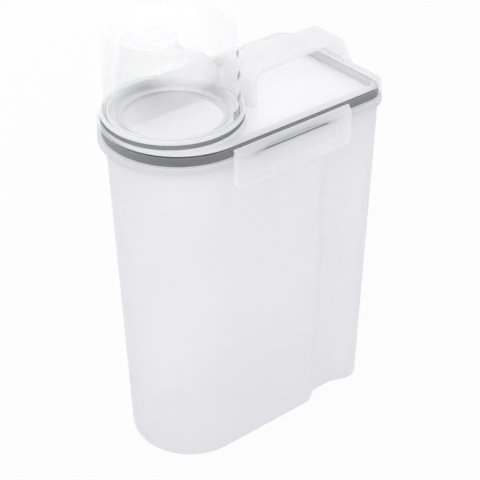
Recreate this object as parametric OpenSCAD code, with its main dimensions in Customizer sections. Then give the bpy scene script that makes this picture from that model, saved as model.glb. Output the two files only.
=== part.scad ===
// Dry-food container with a lift-off lid, two side lock flaps, a carry handle,
// a pouring spout and a measuring cup that stands upside down over the spout.
// X runs along the container with the spout at -X, Z is up, and the origin is
// under the middle of the container on the surface that it stands on.

/* [Container] */
// Length over the flange
body_l = 177.5; // [174:0.5:200]
// Width over the flange
body_w = 100; // [100:0.5:112]
// Height of the flange's top face
body_h = 230.4; // [200:0.2:250]
// Wall thickness of the container
wall_t = 1.8; // [1.4:0.1:2.2]
// Floor thickness of the container
floor_t = 2.2; // [1.8:0.1:3]
// Thickness of the flange round the mouth, at the wall
flange_t = 2.4; // [2:0.1:3]
// Height of the lip that turns down round the flange's edge
lip_h = 4.4; // [4:0.1:5]
// Thickness of that lip at its lower edge
lip_t = 1.3; // [1.1:0.1:1.4]
// Radius of the flange's two rear corners
flange_r = 14; // [12:0.5:18]
// How far the flange stands out of the front and side walls
lip_w = 5; // [4.6:0.1:5.4]
// How far the keeper ribs stand out of the flange's long edges
rib_w = 1.6; // [1:0.1:1.8]
// Length of the keeper ribs
rib_l = 58; // [50:0.5:60]
// How far the flange stands out of the rear wall
rear_lip_w = 2.1; // [1.8:0.1:2.6]
// How far each side wall draws in from the mouth to the floor
side_draft = 5.3; // [3:0.1:7]
// How far the round front draws in from the mouth to the floor
front_draft = 8.9; // [5:0.1:10]
// Radius of the two rear corners of the wall
wall_r = 7.5; // [7:0.1:9]
// Radius between the walls and the floor
floor_r = 5.5; // [3:0.1:6]

/* [Hand grips] */
// Depth of the grip hollow in each side
grip_depth = 7; // [4:0.1:8]
// Distance from the rear of the flange to where the hollow starts
grip_start = 52.5; // [48:0.5:58]
// Length of the slope into the hollow
grip_ramp = 13; // [10:0.5:16]
// Length of the slope back out of the hollow
grip_flare = 17; // [14:0.5:19]
// Depth that is left at the rear corner, at the floor
grip_shoulder = 2.5; // [1:0.1:3.5]
// Distance from the flange's top down to where the hollow ends
grip_drop = 20.4; // [18.4:0.1:50.4]
// Height over which the hollow fades out
grip_fade = 26; // [16:1:40]

/* [Lid] */
// Height of the lid's rim above the flange
rim_h = 9.6; // [9:0.1:11]
// How far the outer skirt stays inside the flange's edge
skirt_inset = 0.3; // [0.2:0.05:0.8]
// Thickness of the outer skirt
skirt_t = 1.8; // [1.5:0.1:2]
// Width of the channel that holds the gasket
channel_w = 2.5; // [2.3:0.1:2.7]
// Thickness of the rim over the channel
rim_top_t = 3.4; // [2.4:0.1:4]
// Depth of the recess in the lid's top
recess_depth = 6; // [5:0.1:7]
// Thickness of the lid's plate
plate_t = 2; // [1.6:0.1:2.4]
// Depth of the plug skirt below the flange's top
plug_depth = 14.4; // [10:0.1:18]
// Thickness of the plug skirt
plug_t = 1.6; // [1.3:0.1:2]
// Clearance between the plug skirt and the container's wall
plug_gap = 0.6; // [0.4:0.05:0.8]
// Clearance between the closed lid and the flange
lid_gap = 0.3; // [0.2:0.05:0.5]

/* [Gasket] */
// Width of the lid's gasket
gasket_w = 2; // [1.6:0.1:2.2]

/* [Turret and cup seal] */
// Distance from the front of the flange to the axis of the cup
cup_x = 44.6; // [44.6:0.1:48]
// Outer radius of the round turret that carries the cup
turret_r = 44; // [43.8:0.1:44.2]
// Height of the turret above the lid's rim
turret_rise = 1.2; // [0.8:0.1:3]
// Thickness of the turret's deck
deck_t = 2; // [1.6:0.1:2.4]
// Thickness of the turret's wall
turret_t = 1.8; // [1.4:0.1:2.2]
// Radius of the hole in the turret's deck
deck_hole_r = 32.6; // [32.4:0.1:33.4]
// Outer radius of the cup seal
seal_r = 43.1; // [42.8:0.1:43.6]
// Thickness of the cup seal
seal_t = 2.8; // [2:0.1:3.4]

/* [Pour spout] */
// Radius of the spout's foot in the deck's hole
foot_r = 32; // [31:0.1:32.2]
// Radius of the funnel where it leaves the deck
funnel_r = 35; // [33:0.1:36]
// Radius of the spout's mouth
mouth_r = 17; // [14:0.5:18]
// How far the mouth's axis lies in front of the cup's axis
mouth_shift = 15.5; // [12:0.5:16]
// Gap between the spout's mouth and the inside of the cup's base
mouth_gap = 0.5; // [0.5:0.1:6]
// Wall thickness of the spout
spout_t = 1.4; // [1.1:0.1:1.8]
// Thickness of the spout's flange on the deck
spout_flange_t = 1.4; // [1:0.1:2]
// Height of the collar that centres the cup, above the deck
collar_h = 5.2; // [4:0.1:8]
// Outer radius of the collar
collar_r = 39.4; // [39:0.1:39.7]
// Thickness of the collar
collar_t = 1.4; // [1.1:0.1:1.8]

/* [Measuring cup] */
// Outer radius of the cup at its rim
cup_rim_r = 41.8; // [41.6:0.1:42]
// Outer radius of the cup at its base
cup_base_r = 38.7; // [38:0.1:39.5]
// Height of the cup
cup_h = 53.9; // [48:0.1:60]
// Wall thickness of the cup
cup_t = 1.5; // [1.2:0.1:1.8]
// Radius round the edge of the cup's base
cup_edge_r = 3; // [2:0.1:4]
// Height of the bead round the cup's rim
cup_bead_h = 2.4; // [1.5:0.1:3]
// How far that bead stands out of the cup's wall
cup_bead_w = 1.5; // [1:0.1:1.7]
// Clearance between the cup and its seal
cup_gap = 0.3; // [0.2:0.05:0.5]

/* [Lock flaps] */
// Length of each flap
flap_l = 89.4; // [76:0.2:92]
// Distance from the front of the flange to the middle of the flaps
flap_x = 95.4; // [94:0.2:96.2]
// Height of each flap below its hinge
flap_h = 25.6; // [22:0.2:28]
// How far a flap's face stands out from the flange's edge
flap_stand = 4; // [3.9:0.1:5]
// Thickness of the flap's panel
flap_t = 2.1; // [1.8:0.1:2.1]
// Thickness of the flap's returned edges
flap_edge_t = 1.6; // [1.2:0.1:2]
// Radius of the flap's lower corners
flap_r = 4.5; // [3:0.1:6]
// Radius of the hinge bead
bead_r = 0.8; // [0.6:0.05:1]
// Clearance between the hinge bead and the skirt
hinge_gap = 0.3; // [0.2:0.05:0.4]
// Distance from the lid's top down to the hinge axis
hinge_drop = 3.6; // [3:0.1:4]
// Length of the slot in a flap
slot_l = 59.6; // [50:0.2:62]
// Height of the slot
slot_h = 2.8; // [2.2:0.1:3.4]
// Distance from the flange's top up to the slot
slot_rise = 0.5; // [0.3:0.1:0.8]
// Length of the pocket in a flap's face
pocket_l = 66.6; // [62.4:0.2:72]
// Height of the pocket, up to the slot
pocket_h = 12.4; // [9:0.2:14]
// Depth of the pocket
pocket_depth = 0.9; // [0.5:0.1:1]
// How far the hook reaches in past the keeper rib's edge
hook_reach = 1.4; // [0.8:0.1:1.6]
// Height of the hook
hook_h = 1.5; // [1.2:0.1:2]
// Clearance between the hook and the flange above it
hook_gap = 0.3; // [0.2:0.05:0.5]

/* [Carry handle] */
// Height of the handle's top above the lid's rim
handle_h = 19.3; // [17:0.1:28]
// Distance from the front of the flange to the front leg
handle_x = 94.2; // [92.5:0.1:100]
// How far the rear leg leans back from its foot to its top
handle_lean = 5; // [2:0.1:8]
// Radius of the handle's bends
handle_r = 9; // [6:0.5:12]
// Width of the handle at its feet
handle_w = 29; // [24:0.5:34]
// Width of the handle at its narrowest
handle_waist = 22; // [18:0.5:26]
// Thickness of the handle's strap
strap_t = 1.8; // [1.4:0.1:2.4]
// Depth of the ribs along both edges, the strap included
rib_depth = 3.8; // [3:0.1:5]
// Thickness of those ribs
rib_t = 1.8; // [1.4:0.1:2.4]

/* [Hidden] */
// Steps of a round
$fn = 96;
// Small overlap that makes two forms one solid
weld = 0.4;
// Ends of the flange
x_front = -body_l / 2;
x_rear = body_l / 2;
half_w = body_w / 2;
// Levels of the grip hollow's upper end and of the lip's lower edge
grip_top = body_h - grip_drop;
lip_z = body_h - lip_h;
// Axis of the round front end
x_round = x_front + half_w;
// Axis of the cup
cup_cx = x_front + cup_x;
// Levels of the lid
lid_top = body_h + rim_h;
skirt_z = body_h + lid_gap;
channel_z = lid_top - rim_top_t;
plate_top = lid_top - recess_depth;
plate_z = plate_top - plate_t;
deck_top = lid_top + turret_rise;
// Insets of the lid's walls from the flange's edge
channel_out = skirt_inset + skirt_t;
channel_in = channel_out + channel_w;
plug_out = lip_w + wall_t + plug_gap + side_draft * plug_depth / body_h;
plug_in = plug_out + plug_t;
// Levels of the cup and of the spout
cup_z = deck_top + seal_t + cup_gap;
cup_top = cup_z + cup_h;
mouth_z = cup_top - cup_t - mouth_gap;
flange_top = deck_top + spout_flange_t;
// Hinge axis of the flaps
hinge_y = half_w - skirt_inset + hinge_gap + bead_r;
hinge_z = lid_top - hinge_drop;

function blend(t) = let (s = min(max(t, 0), 1)) s * s * (3 - 2 * s);
function mix(a, b, t) = a + (b - a) * t;
function arc(cx, cy, r, a0, a1, n) =
    [for (i = [0 : n]) let (a = mix(a0, a1, i / n)) [cx + r * cos(a), cy + r * sin(a)]];

// Skin over a stack of rings with equally many points each. The stack closes
// on itself, or its two ends are covered by strips across each ring between
// the points that mirror each other about point number tip.
module skin(rings, tip = -1) {
    n = len(rings[0]);
    m = len(rings);
    open = tip >= 0;
    points = [for (ring = rings) each ring];
    sides = [for (k = [0 : m - (open ? 2 : 1)], i = [0 : n - 1])
        let (k2 = (k + 1) % m, j = (i + 1) % n) [k * n + i, k2 * n + i, k2 * n + j, k * n + j]];
    strips = [for (i = [0 : (n - 3) / 2]) let (a = tip + i, b = (tip - i + n) % n, c = (tip - i - 1 + n) % n)
        i == 0 ? [a, a + 1, c] : [a, a + 1, c, b]];
    head = [for (s = strips) [for (i = [len(s) - 1 : -1 : 0]) (m - 1) * n + s[i]]];
    polyhedron(points, open ? concat(strips, head, sides) : sides, convexity = 8);
}

// Plan of the container at one height, drawn in by a distance
front_steps = 44;
corner_steps = 6;
grip_steps = 22;
function grip_share(z) = 1 - blend((z - grip_top + grip_fade) / grip_fade);
function shoulder(z) = grip_shoulder * max(0, 1 - z / grip_top);
function grip_cut(x, z) =
    let (start = x_rear - grip_start,
         flare = x_rear - rear_lip_w - wall_r - grip_flare,
         deep = mix(shoulder(z), grip_depth, grip_share(z)))
    blend((x - start) / grip_ramp) * mix(deep, shoulder(z), blend((x - flare) / grip_flare));
function wall_plan(z, inset) =
    let (rise = 1 - z / body_h,
         hw = half_w - lip_w - side_draft * rise - inset,
         xf = x_front + lip_w - 0.1 * lip_w + front_draft * rise + inset,
         xr = x_rear - rear_lip_w - inset,
         r = max(wall_r - inset, 1))
    plan(hw, xf, xr, r, z, 0);
function plan(hw, xf, xr, r, z, rib) =
    let (x0 = xf + hw,
         x1 = xr - r,
         back = hw - (z < 0 ? 0 : shoulder(z)),
         rib_x = [for (d = [-rib_l / 2 - 1.2, -rib_l / 2, rib_l / 2, rib_l / 2 + 1.2]) x_front + flap_x + d],
         side = concat([[rib_x[0], hw], [rib_x[1], hw + rib], [rib_x[2], hw + rib], [rib_x[3], hw]],
                       [for (i = [1 : grip_steps]) let (x = mix(rib_x[3], x1, i / (grip_steps + 0.1)))
                           [x, hw - (z < 0 ? 0 : grip_cut(x, z))]]))
    concat(arc(x0, 0, hw, 90, 270, front_steps),
           [for (p = side) [p[0], -p[1]]],
           arc(x1, -back + r, r, 270, 360, corner_steps),
           arc(x1, back - r, r, 0, 90, corner_steps),
           [for (i = [len(side) - 1 : -1 : 0]) side[i]]);
function flange_plan(inset) =
    plan(half_w - inset, x_front + inset, x_rear - inset, flange_r - inset, -1, rib_w);
function lift(points, z) = [for (p = points) [p[0], p[1], z]];

module container_body() {
    flange_z = body_h - flange_t;
    inner_r = floor_r - 1.5;
    edge = 0.5;
    fade = [for (i = [0 : 5]) grip_top - grip_fade + grip_fade * i / 5];
    outer_fillet = [for (a = [0 : 18 : 90]) [floor_r * (1 - cos(a)), floor_r * (1 - sin(a))]];
    inner_fillet = [for (a = [0 : 22.5 : 90]) [floor_t + inner_r * (1 - cos(a)), inner_r * (1 - sin(a))]];
    outer = concat([for (p = outer_fillet) lift(wall_plan(p[0], p[1]), p[0])],
                   [for (z = fade) lift(wall_plan(z, 0), z)],
                   [lift(wall_plan(flange_z - 0.2, 0), flange_z - 0.2)],
                   [lift(wall_plan(flange_z, -0.2), flange_z)]);
    flange = [lift(flange_plan(lip_t), lip_z),
              lift(flange_plan(edge), lip_z),
              lift(flange_plan(0.15), lip_z + 0.15),
              lift(flange_plan(0), lip_z + edge),
              lift(flange_plan(0), body_h - edge),
              lift(flange_plan(0.15), body_h - 0.15),
              lift(flange_plan(edge), body_h),
              lift(wall_plan(body_h, wall_t - 0.4), body_h),
              lift(wall_plan(body_h - 0.4, wall_t), body_h - 0.4)];
    inner = concat([for (i = [5 : -1 : 0]) lift(wall_plan(fade[i], wall_t), fade[i])],
                   [for (i = [4 : -1 : 0]) let (p = inner_fillet[i])
                       lift(wall_plan(p[0], wall_t + p[1]), p[0])]);
    color([0.9, 0.91, 0.93, 0.6])
        skin(concat(outer, flange, inner), tip = front_steps / 2);
}

// Sweeps a profile round the lid's outline. The profile's x is the distance
// outside the flange's edge, so that what lies inside has a negative x.
module swept() {
    side_l = x_rear - flange_r - x_round;
    translate([x_round, 0, 0]) rotate([0, 0, 90])
        rotate_extrude(angle = 180) translate([half_w, 0]) children();
    translate([x_rear - flange_r, flange_r - half_w, 0]) rotate([0, 0, -90])
        rotate_extrude(angle = 90) translate([flange_r, 0]) children();
    translate([x_rear - flange_r, half_w - flange_r, 0])
        rotate_extrude(angle = 90) translate([flange_r, 0]) children();
    translate([x_rear - flange_r, -half_w, 0]) rotate([90, 0, -90]) linear_extrude(side_l) children();
    translate([x_round, half_w, 0]) rotate([90, 0, 90]) linear_extrude(side_l) children();
    translate([x_rear, half_w - flange_r, 0]) rotate([90, 0, 0])
        linear_extrude(body_w - 2 * flange_r) children();
}

// Flat outline of the lid, drawn in by a distance
module lid_plan(inset) {
    r = flange_r - inset;
    translate([x_round, 0]) circle(half_w - inset);
    translate([x_round, inset - half_w]) square([x_rear - flange_r - x_round, body_w - 2 * inset]);
    translate([x_rear - flange_r - weld, flange_r - half_w])
        square([flange_r - inset + weld, body_w - 2 * flange_r]);
    for (side = [-1, 1])
        translate([x_rear - flange_r, side * (half_w - flange_r)]) circle(r);
}

module lid_rim() {
    recess_in = plug_out - 0.4;
    color([0.93, 0.94, 0.95, 0.5]) swept() polygon([
        [-skirt_inset, skirt_z],
        [-skirt_inset, lid_top - 1],
        [-skirt_inset - 0.3, lid_top - 0.3],
        [-skirt_inset - 1, lid_top],
        [-channel_in - 0.4, lid_top],
        [-channel_in - 1, lid_top - 0.6],
        [-recess_in, plate_top],
        [-plug_in, plate_top],
        [-plug_in, body_h - plug_depth],
        [-plug_out - 0.4, body_h - plug_depth],
        [-plug_out, body_h - plug_depth + 0.8],
        [-plug_out, skirt_z]]);
}

module lid_shell() {
    color([0.93, 0.94, 0.95, 0.5]) difference() {
        union() {
            lid_rim();
            translate([0, 0, plate_z]) linear_extrude(plate_t) lid_plan(plug_out + 0.4);
            translate([cup_cx, 0, plate_z]) cylinder(r = turret_r, h = deck_top - 0.5 - plate_z);
            translate([cup_cx, 0, deck_top - 0.5]) cylinder(r1 = turret_r, r2 = turret_r - 0.5, h = 0.5);
        }
        // Hollow under the turret's deck, inside the plug skirt
        intersection() {
            translate([cup_cx, 0, plate_z - 1])
                cylinder(r = turret_r - turret_t, h = deck_top - deck_t - plate_z + 1);
            translate([0, 0, plate_z - 1]) linear_extrude(rim_h + 10) lid_plan(plug_in + 0.4);
        }
        // Gasket channel
        swept() translate([-channel_in, skirt_z - 3]) square([channel_w, channel_z - skirt_z + 3]);
        translate([cup_cx, 0, deck_top - deck_t - 1]) cylinder(r = deck_hole_r, h = deck_t + 2);
    }
}

module lid_gasket() {
    gap = (channel_w - gasket_w) / 2;
    bottom = skirt_z;
    r = 0.5;
    color([0.45, 0.47, 0.5]) swept() polygon([
        [-channel_out - gap - r, bottom],
        [-channel_out - gap, bottom + r],
        [-channel_out - gap, channel_z],
        [-channel_in + gap, channel_z],
        [-channel_in + gap, bottom + r],
        [-channel_in + gap + r, bottom]]);
}

// The spout's front stands almost upright and its back slopes in to the mouth
function spout_front(t) = mix(-funnel_r, -mouth_shift - mouth_r, t);
function spout_back(t) =
    let (drop = funnel_r - (mouth_r - mouth_shift))
    funnel_r - drop * (0.41 * t + 0.59 * blend((t - 0.52) / 0.3));
function spout_ring(t, inset) =
    let (f = spout_front(t) + inset,
         b = spout_back(t) - inset,
         z = mix(flange_top - 0.3, mouth_z, t))
    [for (i = [0 : 47]) let (a = i * 7.5)
        [cup_cx + (f + b) / 2 + (b - f) / 2 * cos(a), (b - f) / 2 * sin(a), z]];
function foot_ring(r, z) = [for (i = [0 : 47]) let (a = i * 7.5) [cup_cx + r * cos(a), r * sin(a), z]];

module pour_spout() {
    steps = 14;
    foot_z = deck_top - deck_t - 0.8;
    step_z = deck_top + 0.2;
    lip = 0.35;
    inner_r = foot_r - spout_t;
    color([0.93, 0.94, 0.95, 0.5]) {
        skin(concat([foot_ring(foot_r, foot_z), foot_ring(foot_r, step_z)],
                    [for (k = [0 : steps - 1]) spout_ring(k / steps, 0)],
                    [lift(spout_ring(1, 0), mouth_z - lip)],
                    [spout_ring(1, lip)],
                    [spout_ring(1, spout_t - lip)],
                    [lift(spout_ring(1, spout_t), mouth_z - lip)],
                    [for (k = [steps - 1 : -1 : 0]) spout_ring(k / steps, spout_t)],
                    [foot_ring(inner_r, step_z), foot_ring(inner_r, foot_z)]));
        // Flange on the deck, and the collar round its edge
        translate([cup_cx, 0, 0]) rotate_extrude() polygon([
            [foot_r - spout_t / 2, deck_top],
            [collar_r, deck_top],
            [collar_r, deck_top + collar_h - 0.4],
            [collar_r - 0.4, deck_top + collar_h],
            [collar_r - collar_t + 0.4, deck_top + collar_h],
            [collar_r - collar_t, deck_top + collar_h - 0.4],
            [collar_r - collar_t, flange_top],
            [funnel_r - 0.4, flange_top]]);
    }
}

module cup_seal() {
    gap = 0.2;
    color([0.5, 0.52, 0.54]) translate([cup_cx, 0, deck_top]) rotate_extrude() polygon([
        [collar_r + gap, 0],
        [seal_r - 0.5, 0],
        [seal_r, 0.5],
        [seal_r, seal_t - 0.7],
        [seal_r - 0.7, seal_t],
        [collar_r + gap + 0.4, seal_t],
        [collar_r + gap, seal_t - 0.4]]);
}

module measuring_cup() {
    r = cup_edge_r;
    ri = max(r - cup_t, 0.8);
    slope = (cup_rim_r - cup_base_r) / cup_h;
    outer_edge = arc(cup_base_r + slope * r - r, cup_h - r, r, 0, 90, 8);
    inner_edge = arc(cup_base_r + slope * r - cup_t - ri, cup_h - cup_t - ri, ri, 90, 0, 6);
    color([0.93, 0.94, 0.95, 0.45]) translate([cup_cx, 0, cup_z]) rotate_extrude() polygon(concat(
        [[cup_rim_r - cup_t + 0.3, 0],
         [cup_rim_r + cup_bead_w - 0.4, 0],
         [cup_rim_r + cup_bead_w, 0.4],
         [cup_rim_r + cup_bead_w, cup_bead_h - 0.5],
         [cup_rim_r - slope * cup_bead_h, cup_bead_h]],
        outer_edge,
        [[0, cup_h], [0, cup_h - cup_t]],
        inner_edge,
        [[cup_rim_r - cup_t, 0.3]]));
}

// Outline of a flap seen from the side, from x and z, with round lower corners
module flap_face(inset) {
    l = flap_l / 2 - inset;
    low = hinge_z - flap_h + inset;
    r = flap_r - inset;
    translate([x_front + flap_x, 0]) {
        translate([-l, low + r]) square([2 * l, hinge_z - low - r + 1]);
        translate([r - l, low]) square([2 * (l - r), r + 1]);
        for (side = [-1, 1])
            translate([side * (l - r), low + r]) circle(r);
    }
}

// The flap on the +Y side
module flap() {
    face_y = half_w + flap_stand;
    inner_y = face_y - flap_t;
    edge_y = half_w + 0.3;
    low = hinge_z - flap_h;
    slot_z = body_h + slot_rise;
    hook_z = lip_z - hook_gap;
    hook_y = half_w + rib_w - hook_reach;
    bend_z = hinge_z - 2.8;
    module along(l) {
        translate([x_front + flap_x - l / 2, 0, 0]) rotate([90, 0, 90]) linear_extrude(l) children();
    }
    // Cuts an outline, given in x from the flap's middle and z, between two depths
    module through(y0, y1) {
        translate([x_front + flap_x, y1, 0]) rotate([90, 0, 0]) linear_extrude(y1 - y0) children();
    }
    difference() {
        union() {
            // Hinge bead and panel
            along(flap_l) {
                translate([hinge_y, hinge_z]) circle(bead_r, $fn = 32);
                polygon([[hinge_y, hinge_z + bead_r],
                         [hinge_y + bead_r * 0.8, hinge_z + bead_r * 0.6],
                         [face_y - 0.3, bend_z + 0.35],
                         [face_y, bend_z - 0.4],
                         [face_y, low + 0.4],
                         [face_y - 0.4, low],
                         [inner_y, low],
                         [inner_y, bend_z - 0.6],
                         [hinge_y, hinge_z - bead_r]]);
            }
            // Returned edges on both ends and along the bottom
            intersection() {
                difference() {
                    translate([0, face_y - 0.4, 0]) rotate([90, 0, 0])
                        linear_extrude(face_y - 0.4 - edge_y) flap_face(0);
                    translate([0, face_y + 1, 0]) rotate([90, 0, 0])
                        linear_extrude(face_y - edge_y + 2) flap_face(flap_edge_t);
                }
                along(flap_l) polygon([[edge_y, low],
                                       [face_y - 0.2, low],
                                       [face_y - 0.2, bend_z],
                                       [hinge_y, hinge_z - bead_r],
                                       [edge_y, bend_z]]);
            }
            // Hook that catches under the keeper rib
            along(slot_l - 4) polygon([[inner_y + 0.2, hook_z - hook_h - 1.6],
                                       [inner_y - 0.2, hook_z - hook_h - 1.2],
                                       [hook_y + 0.4, hook_z - hook_h],
                                       [hook_y, hook_z - hook_h + 0.5],
                                       [hook_y, hook_z],
                                       [inner_y + 0.2, hook_z]]);
        }
        // Slot with pointed ends
        through(edge_y - 1, face_y + 1) polygon([
            [-slot_l / 2, slot_z],
            [slot_l / 2, slot_z],
            [slot_l / 3, slot_z + slot_h * 0.82],
            [slot_l / 6, slot_z + slot_h],
            [-slot_l / 6, slot_z + slot_h],
            [-slot_l / 3, slot_z + slot_h * 0.82]]);
        // Pocket below the slot
        through(face_y - pocket_depth, face_y + 1) {
            translate([-pocket_l / 2, slot_z - pocket_h + 1]) square([pocket_l, pocket_h - 1]);
            translate([1 - pocket_l / 2, slot_z - pocket_h]) square([pocket_l - 2, 2]);
            for (side = [-1, 1])
                translate([side * (pocket_l / 2 - 1), slot_z - pocket_h + 1]) circle(1);
        }
        // Round lower corners of the panel
        difference() {
            translate([x_front + flap_x - flap_l / 2 - 1, half_w - 3, low - 1])
                cube([flap_l + 2, flap_stand + 4, flap_r + 1]);
            translate([0, face_y + 2, 0]) rotate([90, 0, 0]) linear_extrude(flap_stand + 8) flap_face(0);
        }
    }
}

module near_lock_flap() {
    color([0.9, 0.91, 0.93, 0.7]) mirror([0, 1, 0]) flap();
}

module far_lock_flap() {
    color([0.9, 0.91, 0.93, 0.7]) flap();
}

// Side view of the handle, drawn in by a distance
module handle_side(inset, foot) {
    top = lid_top + handle_h - inset;
    front = x_front + handle_x + inset;
    rear = x_rear - skirt_inset - inset;
    r = handle_r - inset;
    lean = atan(handle_lean / (handle_h - handle_r));
    bend_x = rear - handle_lean - r * cos(lean);
    polygon(concat(
        [[front, plate_top - foot]],
        arc(front + r, top - r, r, 180, 90, 8),
        arc(bend_x, top - r, r, 90, lean, 8),
        [[rear, lid_top], [rear, lid_top - foot]]));
}

// Plan of the handle, drawn in by a distance
module handle_plan(inset) {
    front = x_front + handle_x - 1;
    waist = x_rear - 13;
    w = handle_w / 2 - inset;
    n = handle_waist / 2 - inset;
    near = [[front, w], [front + 12, w - 0.3], [mix(front, waist, 0.45), mix(n, w, 0.45)],
            [waist, n], [waist + 7, mix(n, w, 0.2)], [x_rear + 1, w + 0.5]];
    polygon(concat([for (p = near) [p[0], -p[1]]], [for (i = [len(near) - 1 : -1 : 0]) near[i]]));
}

module carry_handle() {
    high = handle_h + rim_h + 20;
    color([0.88, 0.89, 0.91, 0.8]) difference() {
        intersection() {
            translate([0, handle_w, 0]) rotate([90, 0, 0]) linear_extrude(2 * handle_w) handle_side(0, 0);
            translate([0, 0, plate_top - 1]) linear_extrude(high) handle_plan(0);
        }
        // Space for the fingers
        translate([0, handle_w + 1, 0]) rotate([90, 0, 0])
            linear_extrude(2 * handle_w + 2) handle_side(rib_depth, 5);
        // Hollow of the channel between the two edge ribs
        intersection() {
            translate([0, handle_w, 0]) rotate([90, 0, 0])
                linear_extrude(2 * handle_w) handle_side(strap_t, 5);
            translate([0, 0, plate_top + 1]) linear_extrude(high) handle_plan(rib_t);
        }
        // The rear leg stands on the rim, behind the recess
        translate([x_rear - 40, -handle_w, plate_top - 1])
            cube([60, 2 * handle_w, lid_top - plate_top + 1]);
    }
}

container_body();
lid_shell();
lid_gasket();
pour_spout();
cup_seal();
measuring_cup();
near_lock_flap();
far_lock_flap();
carry_handle();
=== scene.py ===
import math

import bpy
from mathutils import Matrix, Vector


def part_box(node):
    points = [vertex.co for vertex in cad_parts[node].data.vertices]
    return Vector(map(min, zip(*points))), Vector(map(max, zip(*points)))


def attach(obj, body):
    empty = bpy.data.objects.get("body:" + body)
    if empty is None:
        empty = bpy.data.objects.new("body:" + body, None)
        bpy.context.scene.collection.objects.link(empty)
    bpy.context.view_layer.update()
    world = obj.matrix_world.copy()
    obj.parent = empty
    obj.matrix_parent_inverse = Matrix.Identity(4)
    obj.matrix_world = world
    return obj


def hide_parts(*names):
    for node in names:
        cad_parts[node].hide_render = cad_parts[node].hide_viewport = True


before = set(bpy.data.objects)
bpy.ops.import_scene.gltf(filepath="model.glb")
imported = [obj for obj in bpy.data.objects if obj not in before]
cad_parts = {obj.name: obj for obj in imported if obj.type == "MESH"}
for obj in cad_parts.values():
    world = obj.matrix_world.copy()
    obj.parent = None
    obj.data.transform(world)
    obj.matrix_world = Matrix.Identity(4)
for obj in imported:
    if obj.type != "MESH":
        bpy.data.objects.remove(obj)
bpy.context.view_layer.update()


# Camera: about a metre from the container, looking down on its round front
# and one long side through a long lens, so the walls draw in only a little.
CAMERA_PLACE = Vector((-0.4882, -0.6085, 0.6491))
CAMERA_AIM = Vector((0.0181, 0.01295, 0.11905))
LENS_MM = 107.4
SENSOR_MM = 36
NEAREST = 0.01

bpy.ops.object.camera_add(location=CAMERA_PLACE)
camera = bpy.context.object
camera.rotation_euler = (CAMERA_AIM - CAMERA_PLACE).to_track_quat("-Z", "Y").to_euler()
camera.data.lens = LENS_MM
camera.data.sensor_width = SENSOR_MM
camera.data.clip_start = NEAREST
bpy.context.scene.camera = camera


# Studio: a white paper sweep under flat, soft light, as in a shop's picture.
# To the camera, through clear plastic and in gloss, air and paper are plain
# white. Otherwise the air lights evenly and the paper keeps soft shadows.
AIR = "#FEFEFF"
AIR_LIGHT = 0.9
PAPER = "#D4D4D7"
PAPER_GLOW = 0.93
SWEEP_R = 4
SWEEP_SIDES = 96
LAMP_AIM = Vector((0, 0, 0.15))
# Places and widths in metres.
LAMPS = [
    {"name": "key", "place": (-0.72, -0.4, 0.8), "width": 0.6, "watts": 2.8},
    {"name": "side", "place": (1.3, -0.7, 0.8), "width": 0.9, "watts": 1.5},
    {"name": "back", "place": (0.3, 1.3, 0.7), "width": 1.2, "watts": 6},
]


# An sRGB hex colour as the linear values that a colour socket takes.
def linear(hex_colour):
    parts = [int(hex_colour[i : i + 2], 16) / 255 for i in (1, 3, 5)]
    return [p / 12.92 if p <= 0.04045 else ((p + 0.055) / 1.055) ** 2.4 for p in parts] + [1]


# Adds one node. A setting is an attribute of the node or the value of one of
# its inputs, and a link feeds an input, each by the input's name or number.
def add(tree, kind, settings=None, links=None):
    node = tree.nodes.new(kind)
    for name, value in (settings or {}).items():
        if isinstance(name, str) and hasattr(node, name):
            setattr(node, name, value)
        else:
            node.inputs[name].default_value = value
    for name, output in (links or {}).items():
        tree.links.new(output, node.inputs[name])
    return node


# Gives 1 to the camera, through clear plastic and in gloss, and 0 to the rest.
def seen(tree):
    rays = add(tree, "ShaderNodeLightPath")
    sight = add(tree, "ShaderNodeMath", {"operation": "MAXIMUM"},
                {0: rays.outputs["Is Camera Ray"], 1: rays.outputs["Is Transmission Ray"]})
    either = add(tree, "ShaderNodeMath", {"operation": "MAXIMUM"},
                 {0: sight.outputs[0], 1: rays.outputs["Is Glossy Ray"]})
    return either.outputs[0]


bpy.context.scene.view_settings.view_transform = "Standard"
world = bpy.data.worlds.new("studio_air")
bpy.context.scene.world = world
world.use_nodes = True
air = world.node_tree
air.nodes.clear()
strength = add(air, "ShaderNodeMapRange", {"To Min": AIR_LIGHT, "To Max": 1.0}, {"Value": seen(air)})
light = add(air, "ShaderNodeBackground", {"Color": linear(AIR)}, {"Strength": strength.outputs[0]})
add(air, "ShaderNodeOutputWorld", links={"Surface": light.outputs[0]})

bpy.ops.object.select_all(action="DESELECT")
bpy.ops.mesh.primitive_circle_add(vertices=SWEEP_SIDES, radius=SWEEP_R, fill_type="NGON")
floor = bpy.context.object
floor.name = floor.data.name = "studio_floor"
# Uncoated paper has no gloss, so it shows only as white with a soft shadow.
paper = bpy.data.materials.new("matt_white_paper")
paper.use_nodes = True
sweep = paper.node_tree
sweep.nodes.clear()
plain = add(sweep, "ShaderNodeMath", {"operation": "MULTIPLY", 1: PAPER_GLOW}, {0: seen(sweep)})
lit = add(sweep, "ShaderNodeBsdfDiffuse", {"Color": linear(PAPER)})
white = add(sweep, "ShaderNodeEmission", {"Color": linear("#FFFFFF"), "Strength": 1.0})
both = add(sweep, "ShaderNodeMixShader",
           links={0: plain.outputs[0], 1: lit.outputs[0], 2: white.outputs[0]})
add(sweep, "ShaderNodeOutputMaterial", links={"Surface": both.outputs[0]})
floor.data.materials.append(paper)

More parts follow.
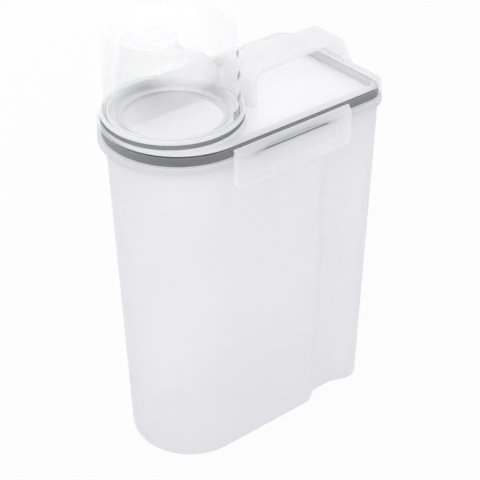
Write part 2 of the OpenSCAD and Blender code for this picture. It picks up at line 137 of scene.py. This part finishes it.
for row in LAMPS:
    place = Vector(row["place"])
    bpy.ops.object.light_add(type="AREA", location=place)
    lamp = bpy.context.object
    lamp.name = "lamp_" + row["name"]
    lamp.data.energy = row["watts"]
    lamp.data.size = row["width"]
    lamp.rotation_euler = (LAMP_AIM - place).to_track_quat("-Z", "Y").to_euler()


# Container: one deep, drafted moulding of milky polypropylene. It has a grip
# hollow in each side and a flange, a lip and two keeper ribs round its mouth,
# and the lid pushes over it.
MERGE_GAP = 0.000004
SMOOTH_BELOW = math.radians(30)
PLASTIC_IOR = 1.49
SCATTERED = 0.5
# Flow marks of the mould are wide and faint, and the core's ripple is finer.
FLOW_MM = 70
CORE_MM = 16
# A blasted mould's real grain is too fine to show, so it is drawn coarser.
FROST_MM = 1.1
# The food space's upper end, and the ends of the spine down its middle.
NECK_Z = 0.23
SPINE_LOW = Vector((-0.036, 0, 0.03))
SPINE_HIGH = Vector((0.05, 0, 0.2))
# The colour sockets of a Mix node: two that go in and one that comes out.
MIX_A = 6
MIX_B = 7
MIX_OUT = 2


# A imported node's mesh is loose triangles, so each piece is a merged copy of
# it, which shades smooth over its rounds and stays sharp at its edges.
def moulded(name, node, body, material):
    bpy.ops.object.select_all(action="DESELECT")
    piece = bpy.data.objects.new(name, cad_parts[node].data.copy())
    piece.data.name = name
    bpy.context.collection.objects.link(piece)
    piece.select_set(True)
    bpy.context.view_layer.objects.active = piece
    bpy.ops.mesh.customdata_custom_splitnormals_clear()
    bpy.ops.object.mode_set(mode="EDIT")
    bpy.ops.mesh.select_all(action="SELECT")
    bpy.ops.mesh.remove_doubles(threshold=MERGE_GAP)
    bpy.ops.object.mode_set(mode="OBJECT")
    bpy.ops.object.shade_smooth_by_angle(angle=SMOOTH_BELOW)
    piece.data.materials.clear()
    piece.data.materials.append(material)
    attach(piece, body)
    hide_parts(node)
    return piece


# Gives a material, its node tree, its shader and its coordinates.
def new_material(name):
    material = bpy.data.materials.new(name)
    material.use_nodes = True
    tree = material.node_tree
    place = add(tree, "ShaderNodeTexCoord")
    return material, tree, tree.nodes["Principled BSDF"], place


# The scale of a noise pattern whose grains are so many millimetres wide.
def grain(mm):
    return 1000 / mm


# How much a see-through wall covers: least where it faces the eye, most at a
# grazing look, and at least the haze. Shadow rays meet only the share called
# shade, so that light reaches what stands inside as it does in a real one.
def cover(tree, least, most, blend, shade, haze=None):
    edge = add(tree, "ShaderNodeLayerWeight", {"Blend": blend})
    wall = add(tree, "ShaderNodeMapRange", {"To Min": least, "To Max": most},
               {"Value": edge.outputs["Facing"]})
    if haze is not None:
        wall = add(tree, "ShaderNodeMath", {"operation": "MAXIMUM"}, {0: wall.outputs[0], 1: haze})
    rays = add(tree, "ShaderNodeLightPath")
    share = add(tree, "ShaderNodeMapRange", {"To Min": 1.0, "To Max": shade},
                {"Value": rays.outputs["Is Shadow Ray"]})
    held = add(tree, "ShaderNodeMath", {"operation": "MULTIPLY"},
               {0: wall.outputs[0], 1: share.outputs[0]})
    return held.outputs[0]


# Natural polypropylene from a blasted mould is milky: most light scatters in
# the wall, and what stands behind it shows only as a faint, pale form.
frosted, tree, shader, place = new_material("frosted_polypropylene")
flow = add(tree, "ShaderNodeTexNoise", {"Scale": grain(FLOW_MM), "Detail": 2.0},
           {"Vector": place.outputs["Object"]})
milk = add(tree, "ShaderNodeMix",
           {"data_type": "RGBA", MIX_A: linear("#EEEEF0"), MIX_B: linear("#F2F2F4")},
           {0: flow.outputs["Fac"]})
frost = add(tree, "ShaderNodeTexNoise", {"Scale": grain(FROST_MM), "Detail": 1.0},
            {"Vector": place.outputs["Object"]})
sheen = add(tree, "ShaderNodeMapRange", {"To Min": 0.38, "To Max": 0.48},
            {"Value": frost.outputs["Fac"]})
bumps = add(tree, "ShaderNodeBump", {"Strength": 0.05, "Distance": 0.0002},
            {"Height": frost.outputs["Fac"]})
tree.links.new(milk.outputs[MIX_OUT], shader.inputs["Base Color"])
tree.links.new(sheen.outputs[0], shader.inputs["Roughness"])
tree.links.new(bumps.outputs[0], shader.inputs["Normal"])
held = cover(tree, least=0.62, most=0.9, blend=0.35, shade=0.5)
tree.links.new(held, shader.inputs["Alpha"])
shader.inputs["IOR"].default_value = PLASTIC_IOR
passed = add(tree, "ShaderNodeBsdfTranslucent", links={"Color": milk.outputs[MIX_OUT]})
wall = add(tree, "ShaderNodeMixShader", {0: SCATTERED}, {1: shader.outputs[0], 2: passed.outputs[0]})
tree.links.new(wall.outputs[0], tree.nodes["Material Output"].inputs["Surface"])

# The mould's polished core leaves the inside smooth, so it adds a faint wet
# gloss to the milky wall and no milk of its own.
polished, tree, shader, place = new_material("polished_polypropylene")
ripple = add(tree, "ShaderNodeTexNoise", {"Scale": grain(CORE_MM), "Detail": 2.0},
             {"Vector": place.outputs["Object"]})
milk = add(tree, "ShaderNodeMix",
           {"data_type": "RGBA", MIX_A: linear("#F3F3F6"), MIX_B: linear("#F7F7FA")},
           {0: ripple.outputs["Fac"]})
gloss = add(tree, "ShaderNodeMapRange", {"To Min": 0.2, "To Max": 0.3},
            {"Value": ripple.outputs["Fac"]})
tree.links.new(milk.outputs[MIX_OUT], shader.inputs["Base Color"])
tree.links.new(gloss.outputs[0], shader.inputs["Roughness"])
shader.inputs["Alpha"].default_value = 0.12

container = moulded("container", "container_body", "container", frosted)
container.data.materials.append(polished)
# A face that looks towards the spine is on the inside.
for face in container.data.polygons:
    spot = face.center
    spine_x = min(max(spot.x, SPINE_LOW.x), SPINE_HIGH.x)
    spine_z = min(max(spot.z, SPINE_LOW.z), SPINE_HIGH.z)
    outwards = spot - Vector((spine_x, 0, spine_z))
    if outwards.dot(face.normal) < 0 and spot.z < NECK_Z:
        face.material_index = 1


# Lid: a styrene moulding with a recess in its top, a round turret for the cup
# and a channel inside its rim that the grey gasket shows through. It pushes
# over the container's flange, and the lock flaps hold it down.
LID_CORNER_R = 0.014
# The skirt's thickness, and the height where it bends into the rim.
SKIRT_T = 0.0025
SKIRT_TOP = 0.2389
# A polished mould's waviness, which breaks up the highlights a little.
GLOSS_MM = 8


# A thin plastic wall: haze in it catches light on both sides, and the rest of
# it is a window. With slope, level and sloping stretches are hazier, because
# there the eye looks through more plastic.
def thin_plastic(name, deep, pale, least, most, smooth, rough, shade, slope=0.0):
    material, tree, shader, place = new_material(name)
    flow = add(tree, "ShaderNodeTexNoise", {"Scale": grain(FLOW_MM), "Detail": 2.0},
               {"Vector": place.outputs["Object"]})
    tone = add(tree, "ShaderNodeMix",
               {"data_type": "RGBA", MIX_A: linear(deep), MIX_B: linear(pale)},
               {0: flow.outputs["Fac"]})
    polish = add(tree, "ShaderNodeTexNoise", {"Scale": grain(GLOSS_MM), "Detail": 2.0},
                 {"Vector": place.outputs["Object"]})
    gloss = add(tree, "ShaderNodeMapRange", {"To Min": smooth, "To Max": rough},
                {"Value": polish.outputs["Fac"]})
    tree.links.new(tone.outputs[MIX_OUT], shader.inputs["Base Color"])
    tree.links.new(gloss.outputs[0], shader.inputs["Roughness"])
    shader.inputs["IOR"].default_value = PLASTIC_IOR
    passed = add(tree, "ShaderNodeBsdfTranslucent", links={"Color": tone.outputs[MIX_OUT]})
    milk = add(tree, "ShaderNodeMixShader", {0: SCATTERED}, {1: shader.outputs[0], 2: passed.outputs[0]})
    window = add(tree, "ShaderNodeBsdfTransparent")
    haze = None
    if slope:
        facing = add(tree, "ShaderNodeSeparateXYZ", links={0: place.outputs["Normal"]})
        level = add(tree, "ShaderNodeMath", {"operation": "ABSOLUTE"}, {0: facing.outputs["Z"]})
        haze = add(tree, "ShaderNodeMapRange", {"From Min": 0.05, "From Max": 0.9, "To Max": slope},
                   {"Value": level.outputs[0]}).outputs[0]
    held = cover(tree, least, most, blend=0.3, shade=shade, haze=haze)
    wall = add(tree, "ShaderNodeMixShader", links={0: held, 1: window.outputs[0], 2: milk.outputs[0]})
    tree.links.new(wall.outputs[0], tree.nodes["Material Output"].inputs["Surface"])
    return material


# Styrene from a satin mould is a pale haze that hides all but dark things.
satin = thin_plastic("satin_moulded_styrene", "#F9F9FA", "#FDFDFE", least=0.7, most=0.9,
                     smooth=0.2, rough=0.3, shade=0.3)
# From a polished mould it is clear as glass, with pale edges and sharp gloss.
clear = thin_plastic("polished_clear_styrene", "#F9F9FB", "#FDFDFD", least=0.06, most=0.45,
                     smooth=0.08, rough=0.16, shade=0.1)
lid_low, lid_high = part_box("lid_shell")


# How far a spot lies inside the lid's outline, which is round in front and
# has two small round corners at the back.
def inset(spot):
    half_w = lid_high[1]
    front = lid_low[0] + half_w
    back = lid_high[0] - LID_CORNER_R
    side = half_w - LID_CORNER_R
    if spot.x < front:
        return half_w - math.hypot(spot.x - front, spot.y)
    if spot.x > back and abs(spot.y) > side:
        return LID_CORNER_R - math.hypot(spot.x - back, abs(spot.y) - side)
    return min(half_w - abs(spot.y), lid_high[0] - spot.x)


lid = moulded("lid", "lid_shell", "lid", satin)
lid.data.materials.append(clear)
# The skirt is polished, so that the gasket shows through it.
for face in lid.data.polygons:
    if face.center.z < SKIRT_TOP and inset(face.center) < SKIRT_T:
        face.material_index = 1


# Gasket: a soft grey ring of moulded silicone, pressed into the channel of the
# lid, where it seals on the container's flange.
SILICONE_IOR = 1.41
DUST_MM = 3

# Silicone is matt and a little uneven in tone, because fine dust clings to it.
silicone, tree, shader, place = new_material("moulded_grey_silicone")
dust = add(tree, "ShaderNodeTexNoise", {"Scale": grain(DUST_MM), "Detail": 3.0},
           {"Vector": place.outputs["Object"]})
tone = add(tree, "ShaderNodeMix",
           {"data_type": "RGBA", MIX_A: linear("#56585B"), MIX_B: linear("#626467")},
           {0: dust.outputs["Fac"]})
tree.links.new(tone.outputs[MIX_OUT], shader.inputs["Base Color"])
shader.inputs["Roughness"].default_value = 0.55
shader.inputs["IOR"].default_value = SILICONE_IOR
moulded("gasket", "lid_gasket", "lid", silicone)


# Cup seal: a paler ring of moulded silicone that lies on the turret's deck,
# round the spout's collar, and closes the cup's rim.

# Thin silicone lets light through, so the ring is a soft grey without shine.
pale_silicone = thin_plastic("moulded_pale_silicone", "#9EA0A3", "#AEB0B3", least=0.8, most=1.0,
                             smooth=0.45, rough=0.55, shade=0.3)
moulded("cup_seal_ring", "cup_seal", "lid", pale_silicone)


# Spout: a thin styrene funnel under the cup that draws in to a round mouth in
# front. Its collar is pressed into the turret's deck and centres the cup.
# The funnel lies inside this radius, and its collar and flange outside it.
COLLAR_IN_R = 0.0375

# So thin a moulding is nearly a window, but its sloping walls look milky.
thin = thin_plastic("thin_moulded_styrene", "#FBFBFC", "#FEFEFE", least=0.05, most=0.35,
                    smooth=0.12, rough=0.2, shade=0.1, slope=0.6)
spout = moulded("spout", "pour_spout", "lid", thin)
spout.data.materials.append(satin)
spout_low, spout_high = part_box("pour_spout")
spout_x = (spout_low[0] + spout_high[0]) / 2
for face in spout.data.polygons:
    if math.hypot(face.center.x - spout_x, face.center.y) > COLLAR_IN_R:
        face.material_index = 1


# Measuring cup: a clear styrene moulding that stands upside down on its seal,
# over the spout. A satin bead runs round its rim, its lower edge here.
BEAD_H = 0.0025

cup_low, cup_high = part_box("measuring_cup")
cup = moulded("cup", "measuring_cup", "cup", clear)
cup.data.materials.append(satin)
for face in cup.data.polygons:
    if max(cup.data.vertices[i].co.z for i in face.vertices) < cup_low[2] + BEAD_H:
        face.material_index = 1


# Cup scale: plain numbers, pad-printed in grey ink on the cup's outside. They
# stand upright when the cup is turned over to measure, so on the lid they are
# upside down.

# Heights and sizes in metres, and the angle round the cup in degrees.
MARKS = [
    {"text": "50", "z": 0.2854, "angle": -50, "size": 0.0056},
    {"text": "100", "z": 0.2716, "angle": -50, "size": 0.0056},
    {"text": "150", "z": 0.2588, "angle": -52, "size": 0.0056},
    {"text": "200", "z": 0.2508, "angle": -61, "size": 0.007},
]
# The cup's outer wall at its rim and at its base.
CUP_RIM_R = 0.0418
CUP_BASE_R = 0.0387
# The ink stands a hair off the wall, so that the two surfaces never coincide.
INK_T = 0.00006
INK_GAP = 0.00002
INK_MERGE_GAP = 0.000001
# The dots of a worn printing pad, drawn as coarse as they need to show.
INK_MM = 0.4

# Pad printing lays a thin, matt film that lets a little of the wall through.
ink, tree, shader, place = new_material("grey_printing_ink")
film = add(tree, "ShaderNodeTexNoise", {"Scale": grain(INK_MM), "Detail": 1.0},
           {"Vector": place.outputs["Object"]})
tone = add(tree, "ShaderNodeMix",
           {"data_type": "RGBA", MIX_A: linear("#55575B"), MIX_B: linear("#77797D")},
           {0: film.outputs["Fac"]})
tree.links.new(tone.outputs[MIX_OUT], shader.inputs["Base Color"])
shader.inputs["Roughness"].default_value = 0.6

cup_x = (cup_low[0] + cup_high[0]) / 2
draft = (CUP_RIM_R - CUP_BASE_R) / (cup_high[2] - cup_low[2])
for row in MARKS:
    bpy.ops.object.select_all(action="DESELECT")
    bpy.ops.object.text_add(location=(0, 0, 0))
    mark = bpy.context.object
    mark.data.body = row["text"]
    mark.data.size = row["size"]
    mark.data.align_x = "CENTER"
    mark.data.align_y = "CENTER"
    bpy.ops.object.convert(target="MESH")
    mark = bpy.context.object
    bpy.ops.object.mode_set(mode="EDIT")
    bpy.ops.mesh.select_all(action="SELECT")
    bpy.ops.mesh.remove_doubles(threshold=INK_MERGE_GAP)
    bpy.ops.mesh.extrude_region_move(TRANSFORM_OT_translate={"value": (0, 0, INK_T)})
    bpy.ops.mesh.select_all(action="SELECT")
    bpy.ops.mesh.normals_make_consistent(inside=False)
    bpy.ops.object.mode_set(mode="OBJECT")
    # The flat number is turned upside down and wrapped round the drafted wall.
    for corner in mark.data.vertices:
        across, up, out = corner.co
        z = row["z"] - up
        radius = CUP_RIM_R - draft * (z - cup_low[2]) + out + INK_GAP
        turn = math.radians(row["angle"]) - across / radius
        corner.co = (cup_x + radius * math.cos(turn), radius * math.sin(turn), z)
    mark.name = mark.data.name = "scale_number_" + row["text"]
    mark.data.materials.clear()
    mark.data.materials.append(ink)
    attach(mark, "cup")


# Handle: a moulded polypropylene strap with a rib along each edge. It is fixed
# to the lid at its foot in the recess and at the rear rim.

# Natural polypropylene with a satin face is a soft white that light passes.
strap_plastic = thin_plastic("satin_polypropylene", "#F0F0F1", "#F6F6F7", least=0.68, most=0.9,
                             smooth=0.3, rough=0.4, shade=0.35)
moulded("handle", "carry_handle", "lid", strap_plastic)


# Lock flaps: a moulded polypropylene panel hangs from a film hinge on each
# long side of the lid. It has returned edges, a slot, a pocket and a hook
# that snaps under the container's keeper rib.
SLOT_LOW = 0.2308
SLOT_HIGH = 0.2338
# How upright the normal of a level face is.
LEVEL = 0.8

# Natural polypropylene with a matt face is white, and what stands close behind
# it shows faintly through.
flap_plastic = thin_plastic("matt_polypropylene", "#FAFAFB", "#FEFEFF", least=0.62, most=0.86,
                            smooth=0.3, rough=0.4, shade=0.4)
# Painted shade: the slot's level edges are painted dark grey for the shadowed gap behind the slot,
# though the flap's plastic there is white.
slot_painted_shade = thin_plastic("painted_slot_shade_grey", "#84868A", "#94969A", least=0.85, most=1.0,
                            smooth=0.3, rough=0.4, shade=1.0)
for side in ("near", "far"):
    flap = moulded(side + "_flap_panel", side + "_lock_flap", side + "_flap",
                   flap_plastic)
    flap.data.materials.append(slot_painted_shade)
    for face in flap.data.polygons:
        # A level face inside the slot takes the painted slot shade.
        if SLOT_LOW < face.center.z < SLOT_HIGH and abs(face.normal.z) > LEVEL:
            face.material_index = 1
